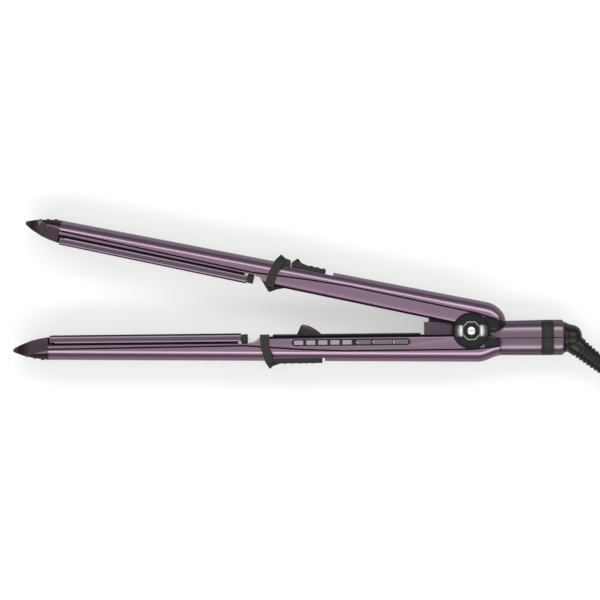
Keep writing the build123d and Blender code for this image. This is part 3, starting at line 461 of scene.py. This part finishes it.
def make_materials():
    """Every material of the scene, by name."""
    made = {"window_grey": window_lens("window_grey"), "cap_steel_painted_reflection": cap_steel_painted_reflection("cap_steel_painted_reflection")}
    for build, table in ((metallic_paint, PAINTS), (moulded, MOULDINGS), (metal, METALS)):
        for name, values in table.items():
            made[name] = build(name, *values)
    return made


def finish_frame():
    """Give every CAD piece the finish of its slot in the record."""
    for row in frame["record"]["subparts"]:
        piece = frame["nodes"][row["node"]]
        piece.data.materials.clear()
        piece.data.materials.append(materials[row["material_slot"]])


# ---------------------------------------------------------------- pieces with rounded edges
def slot_of(node):
    return next(row["material_slot"] for row in frame["record"]["subparts"] if row["node"] == node)


def body_of(node):
    return next(body for body, nodes in frame["record"]["behaviour"]["bodies"].items() if node in nodes)


def add_detail(name, made, node, finish):
    """Put a finished bmesh into the scene, on the body of a CAD piece."""
    mesh = bpy.data.meshes.new(name)
    made.to_mesh(mesh)
    made.free()
    piece = bpy.data.objects.new(name, mesh)
    bpy.context.scene.collection.objects.link(piece)
    mesh.materials.append(materials[finish])
    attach(piece, body_of(node))
    return piece


def add_piece(name, made, node, finish=None):
    """Put a finished bmesh into the scene in place of a CAD piece."""
    slot = slot_of(node)
    piece = add_detail(name, made, node, finish or slot)
    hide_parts(node)
    return piece


def smooth_below(made, degrees):
    """Shade faces smoothly, except across edges sharper than the angle."""
    limit = radians(degrees)
    for face in made.faces:
        face.smooth = True
    for edge in made.edges:
        edge.smooth = len(edge.link_faces) == 2 and edge.calc_face_angle(0) < limit


def clean_copy(node):
    """The node's mesh with its faces joined up and flat areas made whole."""
    made = bmesh.new()
    made.from_mesh(frame["nodes"][node].data)
    bmesh.ops.remove_doubles(made, verts=made.verts, dist=WELD)
    bmesh.ops.dissolve_limit(made, angle_limit=FLAT, verts=made.verts, edges=made.edges)
    return made


def rounded(node, width):
    """The node's shape with its sharp edges rounded, as moulding and machining leave them."""
    made = clean_copy(node)
    if node in BLACK_ENDED:
        cut = {"plane_co": (BLACK_END_X, 0, 0), "plane_no": (1, 0, 0)}
        bmesh.ops.bisect_plane(made, geom=[*made.verts, *made.edges, *made.faces], dist=1e-6, **cut)
    piece = add_piece(node + "_finished", made, node, FINISHES.get(node))
    bevel = piece.modifiers.new("edges", "BEVEL")
    bevel.width = width
    bevel.segments = ROUND_SEGMENTS
    bevel.limit_method = "ANGLE"
    bevel.angle_limit = SHARPEST
    bpy.context.view_layer.update()
    evaluated = piece.evaluated_get(bpy.context.evaluated_depsgraph_get())
    done = bmesh.new()
    done.from_mesh(evaluated.to_mesh())
    smooth_below(done, 32)
    piece.modifiers.clear()
    if node.endswith("_shell"):
        paint_seam_shade(piece, done, node)
    done.to_mesh(piece.data)
    done.free()
    return piece


def paint_seam_shade(piece, made, node):
    """Painted shade: black in the groove where the shells of an arm meet, and darker paint along its inner
    edges that face the other arm.
    """
    groove, nose, edge = 1, 2, 3
    for finish in ("seam_black", "black_gloss", "purple_edge"):
        piece.data.materials.append(materials[finish])
    back_x, back_y = BACKWARDS["lower" if "lower" in node else "upper"]
    towards = 1 if "inner" in node else -1
    made.normal_update()
    for face in made.faces:
        place = face.calc_center_median()
        deep = SIDE_Z - abs(place.z - MID_Z)  # below the arm's flat side
        back = place.x * back_x + place.y * back_y  # from the closing plane
        slant = face.normal.x * back_x + face.normal.y * back_y
        # the groove's wall leans towards the other shell, and its floor faces sideways
        wall = deep > 0.06 * MM and slant * towards > 0.3
        floor = deep > 0.3 * MM and slant * towards > -0.05
        # painted shade: the groove's faces are black
        if deep < GROOVE_DEEP + 0.02 * MM and (wall or floor):
            face.material_index = groove
        elif node in BLACK_ENDED and place.x > BLACK_END_X:
            face.material_index = nose
        # painted shade: inner faces near the closing plane that face the other arm are darker
        elif towards == 1 and slant < -0.1 and deep < EDGE_D and back < EDGE_D:
            face.material_index = edge


def skin(rings, looped=False):
    """Closed skin over rings with as many points each; the first and last are capped or joined up."""
    made = bmesh.new()
    rows = [[made.verts.new(place) for place in ring] for ring in rings]
    pairs = list(zip(rows, rows[1:]))
    if looped:
        pairs.append((rows[-1], rows[0]))
    else:
        made.faces.new(rows[0])
        made.faces.new(rows[-1])
    for low, high in pairs:
        for k in range(len(low)):
            made.faces.new((low[k - 1], low[k], high[k], high[k - 1]))
    bmesh.ops.recalc_face_normals(made, faces=made.faces)
    return made


def join(made, other):
    """Add another bmesh's faces to the first."""
    mesh = bpy.data.meshes.new("joined")
    other.to_mesh(mesh)
    other.free()
    made.from_mesh(mesh)
    bpy.data.meshes.remove(mesh)


def circle(count=72):
    """Cosine and sine of evenly spaced angles, all the way round."""
    return [(cos(2 * pi * k / count), sin(2 * pi * k / count)) for k in range(count)]


def turned_up(profile, way):
    """Skin turned about the hinge's axis from (radius, height above the middle plane)."""
    return skin([[(r * c, r * s, MID_Z + way * h) for c, s in circle(96)] for r, h in profile])


def tail_ring(x, radius, count):
    """Circle round the tail's axis."""
    return [(x, TAIL_Y + radius * c, MID_Z + radius * s) for c, s in circle(count)]


# ---------------------------------------------------------------- hinge caps
def make_cap(end, way):
    """A hinge cap with a rolled rim and a thin step inside it."""
    inner, face, rim = CAP_LEVELS
    profile = [
        (CAP_R - 0.3 * MM, inner),
        (CAP_R, inner + 0.2 * MM),
        (CAP_R, rim - 0.75 * MM),
        (CAP_R - 0.08 * MM, rim - 0.6 * MM),
        (CAP_R - 0.75 * MM, rim - 0.04 * MM),
        (CAP_R - 0.85 * MM, rim),
        (CAP_R - 1.05 * MM, rim),
        (CAP_R - 1.12 * MM, rim - 0.05 * MM),
        (CAP_FACE, face + 0.1 * MM),
        (CAP_FACE - 0.1 * MM, face),
    ]
    made = turned_up(profile, way)
    smooth_below(made, 30)
    return add_piece(end + "_cap_turned", made, end + "_hinge_cap")


def make_medallion(end, way):
    """A plain polished boss with one fine ring round its dome."""
    face, rim = CAP_LEVELS[1:]
    dome = [(share * MEDALLION_R, rim - 0.5 * MM * share**2) for share in (0.5, 0.4, 0.3, 0.2, 0.1, 0.01)]
    profile = [
        (MEDALLION_R, face),
        (MEDALLION_R, rim - 0.25 * MM),
        (0.96 * MEDALLION_R, rim - 0.1 * MM),
        (0.88 * MEDALLION_R, rim - 0.02 * MM),
        (0.80 * MEDALLION_R, rim),
        (0.72 * MEDALLION_R, rim - 0.06 * MM),
        (0.64 * MEDALLION_R, rim - 0.28 * MM),
        (0.56 * MEDALLION_R, rim - 0.28 * MM),
        *dome,
    ]
    made = turned_up(profile, way)
    smooth_below(made, 60)
    return add_piece(end + "_medallion_polished", made, end + "_medallion")


def octagon_ring(apothem, height):
    reach = apothem / cos(pi / 8)
    return [(reach * cos((k + 0.5) * pi / 4), reach * sin((k + 0.5) * pi / 4), height) for k in range(8)]


def make_cap_bar(side, way):
    """A bar with a raised lip along each edge, from the octagon out to the rim, that falls away a little."""
    face, rim = CAP_LEVELS[1:]
    columns, bar_half, lip = 12, 3.7 * MM, 0.3 * MM
    rings = []
    for k in range(columns + 1):
        x = OCTAGON - 0.05 * MM + (CAP_FACE - 0.25 * MM - OCTAGON) * k / columns
        half = min(bar_half, sqrt(CAP_FACE**2 - x**2) * 0.98)
        top = rim - 0.14 * MM - 0.16 * MM * (k / columns) ** 2
        section = [
            (-half, face),
            (-half, top),
            (lip - half, top),
            (1.6 * lip - half, top - 0.1 * MM),
            (half - 1.6 * lip, top - 0.1 * MM),
            (half - lip, top),
            (half, top),
            (half, face),
        ]
        rings.append([(side * x, y, MID_Z + way * h) for y, h in section])
    return skin(rings)


def make_cap_bezel(end, way):
    """An octagonal frame with bevelled sides round a dished middle, and a curved bar out to each side."""
    face, rim = CAP_LEVELS[1:]
    inner, wide = 4.0 * MM, OCTAGON - 0.7 * MM
    steps = [
        (OCTAGON, face),
        (OCTAGON, rim - 0.25 * MM),
        (OCTAGON - 0.12 * MM, rim - 0.1 * MM),
        (wide, rim - 0.1 * MM),
        (wide - 0.15 * MM, rim - 0.25 * MM),
        (inner, face + 0.12 * MM),
        (inner, face),
    ]
    made = skin([octagon_ring(apothem, MID_Z + way * height) for apothem, height in steps], looped=True)
    for side in (1, -1):
        join(made, make_cap_bar(side, way))
    smooth_below(made, 20)
    piece = add_piece(end + "_cap_frame", made, end + "_cap_bezel", "cap_steel_painted_reflection")
    piece.data.materials.append(materials["cap_frame"])
    piece.data.materials.append(materials["black_gloss"])
    for facet in piece.data.polygons:
        place = facet.center
        out = hypot(place.x, place.y)
        if out < OCTAGON * 1.02 and max(abs(place.x), abs(place.y)) < OCTAGON:
            facet.material_index = 1 if abs(facet.normal.z) > 0.9 and out > wide * 0.98 else 2
    return piece


# ---------------------------------------------------------------- elbow and sleeve
def make_ball():
    """Neck and rounded cone of the elbow, turned about the tail's axis."""
    start = ELBOW_START
    profile = [
        (start - 11.6 * MM, NECK_R),
        (start, NECK_R),
        (start, 9.9 * MM),
        (start + 0.3 * MM, 10.2 * MM),
        (start + 1.2 * MM, 10.1 * MM),
        (start + 2.2 * MM, 9.5 * MM),
        (start + 3.4 * MM, 9.0 * MM),
        (start + 4.6 * MM, 8.6 * MM),
        (start + 6.0 * MM, 8.3 * MM),
        (start + 7.6 * MM, 7.8 * MM),
        (start + 9.0 * MM, 7.1 * MM),
        (start + 10.2 * MM, 6.1 * MM),
        (start + 11.2 * MM, 4.6 * MM),
        (start + 11.8 * MM, 2.8 * MM),
        (start + 12.0 * MM, 0.6 * MM),
    ]
    return skin([tail_ring(x, radius, 72) for x, radius in profile])


def sleeve_ring(along, radius):
    """Round section of the sleeve some way along it; the sleeve bows a little on its way to the cord."""
    bow = SLEEVE_BOW * (1 - (along / SLEEVE_LONG) ** 2)
    across = (-sin(SLEEVE_TURN), cos(SLEEVE_TURN))
    x = ELBOW_CORNER + along * cos(SLEEVE_TURN) - bow * across[0]
    y = TAIL_Y + along * sin(SLEEVE_TURN) - bow * across[1]
    ring = []
    for c, s in circle():
        ring.append((x + radius * c * across[0], y + radius * c * across[1], MID_Z + radius * s))
    return ring


def make_sleeve():
    """Smooth collar and evenly spaced rings that slim down towards the cord."""
    rings = [sleeve_ring(along * MM, radius * MM) for along, radius in SLEEVE_COLLAR]
    ribs = int((SLEEVE_LONG - SLEEVE_SMOOTH - 2 * MM) / RIB_PITCH)
    for k in range(ribs):
        for part, drop in RIB_STEPS:
            crest = SLEEVE_R + (SLEEVE_END_R - SLEEVE_R) * (k + part) / ribs
            rings.append(sleeve_ring(SLEEVE_SMOOTH + (k + part) * RIB_PITCH, crest - drop * RIB_DEEP))
    rings.append(sleeve_ring(SLEEVE_LONG - 0.6 * MM, SLEEVE_END_R))
    rings.append(sleeve_ring(SLEEVE_LONG - 0.1 * MM, SLEEVE_END_R - 0.3 * MM))
    rings.append(sleeve_ring(SLEEVE_LONG, SLEEVE_END_R - 0.8 * MM))
    return skin(rings)


def make_elbow():
    """The elbow that turns in the tail's end, with its ribbed strain relief, in one moulding."""
    made = make_ball()
    join(made, make_sleeve())
    smooth_below(made, 46)
    return add_piece("swivel_elbow_moulded", made, "swivel_elbow", "elbow_black")


# ---------------------------------------------------------------- tail and plates
def turned_along(profile, bore):
    """Ring turned about the tail's axis from (X, radius), with a round bore."""
    closed = [*profile, (profile[-1][0], bore), (profile[0][0], bore)]
    return skin([tail_ring(x, radius, 96) for x, radius in closed], looped=True)


def squared(piece):
    """Fill out a piece of the tail across the tool, to a round square as wide and as high as the circle."""
    bore = NECK_R + 0.5 * MM  # stays round
    for vertex in piece.data.vertices:
        y, z = vertex.co.y - TAIL_Y, vertex.co.z - MID_Z
        reach = hypot(y, z)
        if reach > bore:
            left = max(reach**TAIL_POWER - abs(y) ** TAIL_POWER, 0)
            vertex.co.z = MID_Z + copysign(left ** (1 / TAIL_POWER), z)
    piece.data.update()
    return piece


def make_tail_seam_shade():
    """Black lines of painted shade along the joints of the tail's halves, the band and the collar."""
    stations = [(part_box("tail_bottom")[0].x, TAIL_R), (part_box("tail_band")[0].x, TAIL_R_REAR)]
    stations.append((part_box("tail_collar")[1].x - TAIL_SEAM_END, TAIL_R_REAR))
    half = TAIL_SEAM / 2
    made = bmesh.new()
    for way in (1, -1):
        rings = []
        for x, radius in stations:
            outer = [(x, TAIL_Y + y, MID_Z + way * (radius + TAIL_SEAM_PROUD)) for y in (-half, 0, half)]
            inner = [(x, TAIL_Y + y, MID_Z + way * (radius - TAIL_SEAM_DEEP)) for y in (half, -half)]
            rings.append(outer + inner)
        join(made, skin(rings))
    return add_detail("tail_seam_shade", made, "tail_bottom", "seam_black")


def make_plate_lips(side):
    """Black lips that close the arm's slots beside the plate's front end, standing for the shade in the
    slots.
    """
    back = BACKWARDS[side]
    way = -1 if side == "lower" else 1
    ahead = (-way * back[1], way * back[0])
    (near, far), (low, high) = LIP_ALONG, LIP_BACK
    made = bmesh.new()
    for flank in (1, -1):
        rings = []
        for across in LIP_ACROSS:
            ring = []
            for s, d in ((near, low), (far, low), (far, high), (near, high)):
                x, y = s * ahead[0] + d * back[0], s * ahead[1] + d * back[1]
                ring.append((x, y, MID_Z + flank * across))
            rings.append(ring)
        join(made, skin(rings))
    return add_detail(f"{side}_plate_lips", made, f"{side}_tip", "seam_black")


def make_tail_band():
    """Rubber band with a fine groove beside each edge."""
    low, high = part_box("tail_band")
    radius = high.y - TAIL_Y
    start, end, lip, wide, deep = low.x, high.x, 0.25 * MM, 0.45 * MM, 0.35 * MM
    profile = [(start, radius - lip), (start + lip, radius)]
    for edge in (start + 1.1 * MM, end - 1.1 * MM - wide):
        profile += [(edge, radius), (edge + 0.1 * wide, radius - deep)]
        profile += [(edge + 0.9 * wide, radius - deep), (edge + wide, radius)]
    profile += [(end - lip, radius), (end, radius - lip)]
    made = turned_along(profile, radius - 3 * MM)
    smooth_below(made, 40)
    return squared(add_piece("tail_band_grooved", made, "tail_band"))


def make_tail_collar():
    """End collar, bevelled towards the elbow, with a shadow gap before the band."""
    low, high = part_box("tail_collar")
    radius = high.y - TAIL_Y
    start, end = low.x, high.x
    profile = [
        (start, radius - 0.5 * MM),
        (start + 0.3 * MM, radius - 0.5 * MM),
        (start + 0.35 * MM, radius - 0.1 * MM),
        (start + 0.5 * MM, radius),
        (end - 1.3 * MM, radius),
        (end - 1.1 * MM, radius - 0.1 * MM),
        (end - 0.15 * MM, radius - 1.1 * MM),
        (end, radius - 1.3 * MM),
    ]
    made = turned_along(profile, NECK_R + 0.2 * MM)
    smooth_below(made, 40)
    return squared(add_piece("tail_collar_turned", made, "tail_collar", "purple_satin"))


# ---------------------------------------------------------------- painted highlights on the keys
def make_key_painted_highlight(node):
    """Painted highlight: pale edging round the front end of a key, like an arrow head on the two longer
    keys.
    """
    low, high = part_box(node)
    near, far = low.y + HIGHLIGHT_INSET, high.y - HIGHLIGHT_INSET
    if node == "button_power":
        outer = [(low.x + HIGHLIGHT_INSET, far), (low.x + HIGHLIGHT_INSET, near)]
    else:
        point = (low.x + HIGHLIGHT_INSET, (low.y + high.y) / 2)
        outer = [(low.x + KEY_ARROW, far), point, (low.x + KEY_ARROW, near)]
    inner = [(x + HIGHLIGHT_LONG, y) for x, y in outer]
    base, cap = high.z - HIGHLIGHT_PROUD, high.z + HIGHLIGHT_PROUD
    made = bmesh.new()
    rows = []
    for line, z in ((outer, base), (outer, cap), (inner, cap), (inner, base)):
        rows.append([made.verts.new((x, y, z)) for x, y in line])
    for k in range(len(outer) - 1):
        for first, second in zip(rows, rows[1:] + rows[:1]):
            made.faces.new((first[k], first[k + 1], second[k + 1], second[k]))
    made.faces.new([row[0] for row in rows])
    made.faces.new([row[-1] for row in rows])
    bmesh.ops.recalc_face_normals(made, faces=made.faces)
    return add_detail(node + "_mark", made, node, "key_mark")


# ---------------------------------------------------------------- cord
def lay_at(turns):
    """Radius and height of the coiled cord's middle after that many turns."""
    for (t0, r0, z0), (t1, r1, z1) in zip(COIL_LAY, COIL_LAY[1:]):
        if turns <= t1:
            share = (turns - t0) / (t1 - t0)
            return (r0 + share * (r1 - r0)) * CORD_D, (z0 + share * (z1 - z0)) * CORD_D
    return COIL_LAY[-1][1] * CORD_D, COIL_LAY[-1][2] * CORD_D


def coil_points():
    total = COIL_LAY[-1][0]
    count = round(total * COIL_POINTS)
    points = []
    for k in range(count):
        turns = total * k / count
        radius, height = lay_at(turns)
        angle = COIL_START + 2 * pi * turns
        points.append((COIL_CENTRE[0] + radius * cos(angle), COIL_CENTRE[1] + radius * sin(angle), height))
    return points


def make_cord():
    """One spline from the sleeve through the coil to the plug."""
    curve = bpy.data.curves.new("power_cord", "CURVE")
    curve.dimensions = "3D"
    points = CORD_ROUTE + coil_points() + PLUG_ROUTE
    spline = curve.splines.new("NURBS")
    spline.points.add(len(points) - 1)
    for point, place in zip(spline.points, points):
        point.co = (*place, 1)
    spline.order_u = 3
    spline.use_endpoint_u = True
    spline.resolution_u = 4
    curve.bevel_depth = CORD_D / 2
    curve.bevel_resolution = 6
    curve.use_fill_caps = True
    curve.materials.append(materials["cord_black"])
    cord = bpy.data.objects.new("power_cord", curve)
    bpy.context.scene.collection.objects.link(cord)
    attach(cord, "cord_swivel")
    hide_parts("cord_tube", "cord_coil", "cord_tail")
    return cord


def make_tie():
    """Strap pulled round all the turns of the coil, on the side away from the tool."""
    places = []
    for k in range(int(COIL_LAY[-1][0]) + 1):
        turns = k + 1 - COIL_START / (2 * pi)
        if turns < COIL_LAY[-1][0]:
            places.append(lay_at(turns))
    rings = []
    sides = [(-TIE_WIDE / 2 + inset * MM, thick) for inset, thick in TIE_STEPS]
    for along, thick in sides + [(-along, thick) for along, thick in reversed(sides)]:
        ring = []
        for c, s in circle():
            radius, height = max(places, key=lambda place: place[0] * c + place[1] * s)
            out = CORD_D / 2 + thick * MM
            radius, height = radius + out * c, max(height + out * s, 0.05 * MM * (1 + thick))
            ring.append((COIL_CENTRE[0] + radius, COIL_CENTRE[1] + along, height))
        rings.append(ring)
    made = skin(rings, looped=True)
    smooth_below(made, 40)
    return add_piece("cord_tie_strap", made, "cord_tie")


def plug_ring(along, wide, high, power):
    """Section of the plug, some way along it: round where power is 2, boxier above."""
    cx, cy, cz = PLUG_ROUTE[-1]
    ahead = (cos(PLUG_HEADING), sin(PLUG_HEADING))
    ring = []
    for c, s in circle(64):
        u = wide * copysign(abs(c) ** (2 / power), c)
        v = high * copysign(abs(s) ** (2 / power), s)
        ring.append((cx + along * ahead[0] - u * ahead[1], cy + along * ahead[1] + u * ahead[0], cz + v))
    return ring


def make_plug():
    """Moulded plug: a ribbed relief, a waisted grip with ridges, and a flat face round the blades."""
    thin, thick = PLUG_RELIEF_R
    sections = [(0, thin - 0.4, thin - 0.4, 2), (0.3, thin, thin, 2)]
    for k in range(PLUG_RIBS):
        for part, drop in PLUG_RIB_STEPS:
            share = (k + part) / PLUG_RIBS
            radius = thin + (thick - thin) * share - drop
            sections.append((0.4 + PLUG_RELIEF * share, radius, radius, 2))
    sections += PLUG_SHOULDER
    for k in range(GRIP_STEPS + 1):
        waist = GRIP_WAIST * sin(pi * k / GRIP_STEPS)
        ridge = GRIP_RIDGE if k % 2 and 1 < k < GRIP_STEPS - 1 else 0.0
        along = GRIP_START + GRIP_LONG * k / GRIP_STEPS
        sections.append((along, GRIP_WIDE - waist - ridge, GRIP_HIGH - 0.3 * waist - ridge, GRIP_POWER))
    sections += PLUG_FACE
    rings = [plug_ring(along * MM, wide * MM, high * MM, power) for along, wide, high, power in sections]
    made = skin(rings)
    smooth_below(made, 42)
    return add_piece("plug_moulded", made, "plug_body")


make_camera()
make_studio()
make_floor()
materials = make_materials()
finish_frame()
cord = make_cord()
for node, width in ROUNDED.items():
    piece = rounded(node, width * MM)
    if node in ("tail_top", "tail_bottom"):
        squared(piece)
make_tail_seam_shade()
make_plate_lips("lower")
make_plate_lips("upper")
for end, way in (("front", 1), ("rear", -1)):
    make_cap(end, way)
    make_medallion(end, way)
    make_cap_bezel(end, way)
make_elbow()
make_tail_band()
make_tail_collar()
for node in ("button_less", "button_more", "button_power"):
    make_key_painted_highlight(node)
make_tie()
make_plug()
bpy.context.scene.view_settings.view_transform = "Standard"
